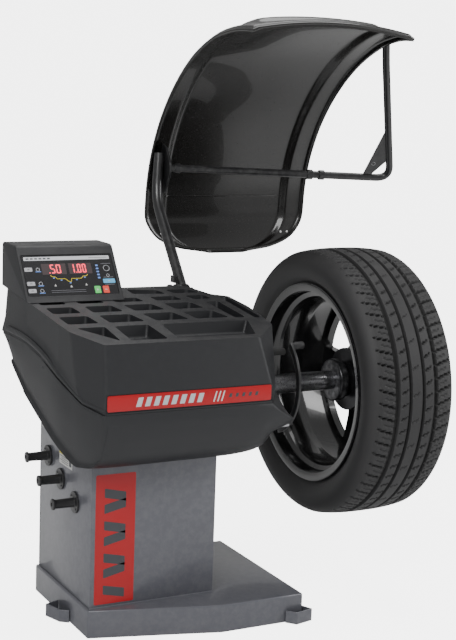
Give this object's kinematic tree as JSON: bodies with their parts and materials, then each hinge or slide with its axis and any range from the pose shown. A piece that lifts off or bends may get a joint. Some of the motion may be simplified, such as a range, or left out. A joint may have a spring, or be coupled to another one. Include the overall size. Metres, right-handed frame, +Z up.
{
  "type": "wheel balancer",
  "caption": "Motor-driven workshop wheel balancer with weight tray, display console, swing-over guard, rim gauge and a mounted wheel on its spindle.",
  "frame": {"origin": "middle of the machine's overall box, on the floor", "axes": "+X along the spindle from the machine towards the wheel, +Y to the machine's back, +Z up"},
  "size_m": [1.1694, 0.8946, 1.467],
  "materials": {
    "slate_paint": "satin slate grey paint on pressed sheet steel",
    "dark_plastic": "fine-grained charcoal moulded plastic",
    "black_plastic": "black moulded plastic",
    "gloss_black_plastic": "glossy black vacuum-formed sheet",
    "black_paint": "black powder coat",
    "red_film": "red self-adhesive film",
    "screen": "dark tinted front film",
    "silver_key": "silver-grey key cap",
    "blue_key": "blue key cap",
    "green_key": "green key cap",
    "red_key": "red key cap",
    "steel": "turned or sheared bare steel",
    "black_steel": "blackened turned steel",
    "cast_iron": "as cast with machined seats",
    "aluminium": "turned aluminium",
    "rim_paint": "gloss black wheel paint on cast aluminium",
    "tyre_rubber": "tyre rubber",
    "rubber": "moulded rubber",
    "circuit_board": "green solder mask",
    "ceramic": "fired piezo ceramic"
  },
  "bodies": {
    "stand": {"base_tray": "slate_paint", "foot_left": "slate_paint", "foot_front": "slate_paint", "foot_rear": "slate_paint", "column_shell": "slate_paint", "rear_cover": "slate_paint", "head_plate": "black_paint", "motor_shelf": "steel", "peg_upper": "black_plastic", "peg_middle": "black_plastic", "peg_lower": "black_plastic", "spindle_housing": "cast_iron", "bearing_inner": "steel", "bearing_outer": "steel", "encoder_reader": "black_plastic", "motor_body": "cast_iron", "drive_belt": "rubber", "sensor_beam": "steel", "piezo_inner": "ceramic", "piezo_outer": "ceramic", "power_board": "circuit_board", "mains_inlet": "black_plastic", "weight_tray": "dark_plastic", "head_lower_casing": "dark_plastic", "console_housing": "dark_plastic", "display_panel": "screen", "display_board": "circuit_board", "front_band": "red_film", "guard_bracket": "black_paint", "guard_switch": "black_plastic", "gauge_guide": "black_plastic", "gauge_rest": "rubber"},
    "spindle": {"spindle_shaft": "steel", "spindle_flange": "black_steel", "spindle_pulley": "aluminium", "encoder_disc": "steel"},
    "cone": {"centring_cone": "steel", "cone_spring": "steel"},
    "rotor": {"motor_pulley": "steel"},
    "wheel": {"rim": "rim_paint", "tyre": "tyre_rubber", "valve_stem": "rubber"},
    "cup": {"pressure_cup": "black_plastic"},
    "nut": {"quick_nut": "black_steel"},
    "guard": {"guard_shell": "gloss_black_plastic", "guard_arm": "black_paint", "guard_tube": "black_paint", "guard_gusset": "black_paint", "guard_shaft": "steel", "guard_cam": "steel"},
    "gauge_carriage": {"gauge_rod": "steel"},
    "gauge_swing": {"gauge_arm": "black_paint", "gauge_knob": "black_plastic"},
    "rocker": {"mains_rocker": "red_key"},
    "key_mode": {"key_mode": "silver_key"},
    "key_unit": {"key_unit": "silver_key"},
    "key_width": {"key_width": "silver_key"},
    "key_function": {"key_function": "blue_key"},
    "key_start": {"key_start": "green_key"},
    "key_stop": {"key_stop": "red_key"}
  },
  "joints": [
    {"name": "spindle_spin", "type": "hinge", "parent": "stand", "child": "spindle", "pos_m": [-0.01966, -0.10075, 0.533], "axis": [1, 0, 0], "continuous": true},
    {"name": "motor_spin", "type": "hinge", "parent": "stand", "child": "rotor", "pos_m": [-0.45966, -0.10075, 0.2883], "axis": [1, 0, 0], "continuous": true},
    {"name": "cone_slide", "type": "slide", "parent": "spindle", "child": "cone", "axis": [-1, 0, 0], "range_m": [0, 0.008], "stiffness_N_per_m": 1500, "springref_m": -0.006, "deforming": ["cone_spring"]},
    {"name": "wheel_slide", "type": "slide", "parent": "spindle", "child": "wheel", "axis": [1, 0, 0], "range_m": [0, 0.32]},
    {"name": "cup_slide", "type": "slide", "parent": "wheel", "child": "cup", "axis": [1, 0, 0], "range_m": [0, 0.05]},
    {"name": "nut_spin", "type": "hinge", "parent": "cup", "child": "nut", "pos_m": [0.37034, -0.10075, 0.533], "axis": [1, 0, 0], "continuous": true},
    {"name": "guard_hinge", "type": "hinge", "parent": "stand", "child": "guard", "pos_m": [-0.07666, 0.17525, 0.737], "axis": [1, 0, 0], "range_deg": [0, 60]},
    {"name": "gauge_pull", "type": "slide", "parent": "stand", "child": "gauge_carriage", "axis": [1, 0, 0], "range_m": [0, 0.11]},
    {"name": "gauge_tilt", "type": "hinge", "parent": "gauge_carriage", "child": "gauge_swing", "pos_m": [-0.01666, -0.30975, 0.482], "axis": [1, 0, 0], "range_deg": [0, 30]},
    {"name": "mains_switch", "type": "hinge", "parent": "stand", "child": "rocker", "pos_m": [-0.32566, 0.06255, 0.15], "axis": [1, 0, 0], "range_deg": [-12, 0]},
    {"name": "press_mode", "type": "slide", "parent": "stand", "child": "key_mode", "axis": [0, 0.8189, -0.5739], "range_m": [0, 0.001], "stiffness_N_per_m": 400},
    {"name": "press_unit", "type": "slide", "parent": "stand", "child": "key_unit", "axis": [0, 0.8189, -0.5739], "range_m": [0, 0.001], "stiffness_N_per_m": 400},
    {"name": "press_width", "type": "slide", "parent": "stand", "child": "key_width", "axis": [0, 0.8189, -0.5739], "range_m": [0, 0.001], "stiffness_N_per_m": 400},
    {"name": "press_function", "type": "slide", "parent": "stand", "child": "key_function", "axis": [0, 0.8189, -0.5739], "range_m": [0, 0.001], "stiffness_N_per_m": 400},
    {"name": "press_start", "type": "slide", "parent": "stand", "child": "key_start", "axis": [0, 0.8189, -0.5739], "range_m": [0, 0.001], "stiffness_N_per_m": 400},
    {"name": "press_stop", "type": "slide", "parent": "stand", "child": "key_stop", "axis": [0, 0.8189, -0.5739], "range_m": [0, 0.001], "stiffness_N_per_m": 400}
  ],
  "couplings": [
    {"joint": "motor_spin", "follows": "spindle_spin", "ratio": 2.75}
  ]
}
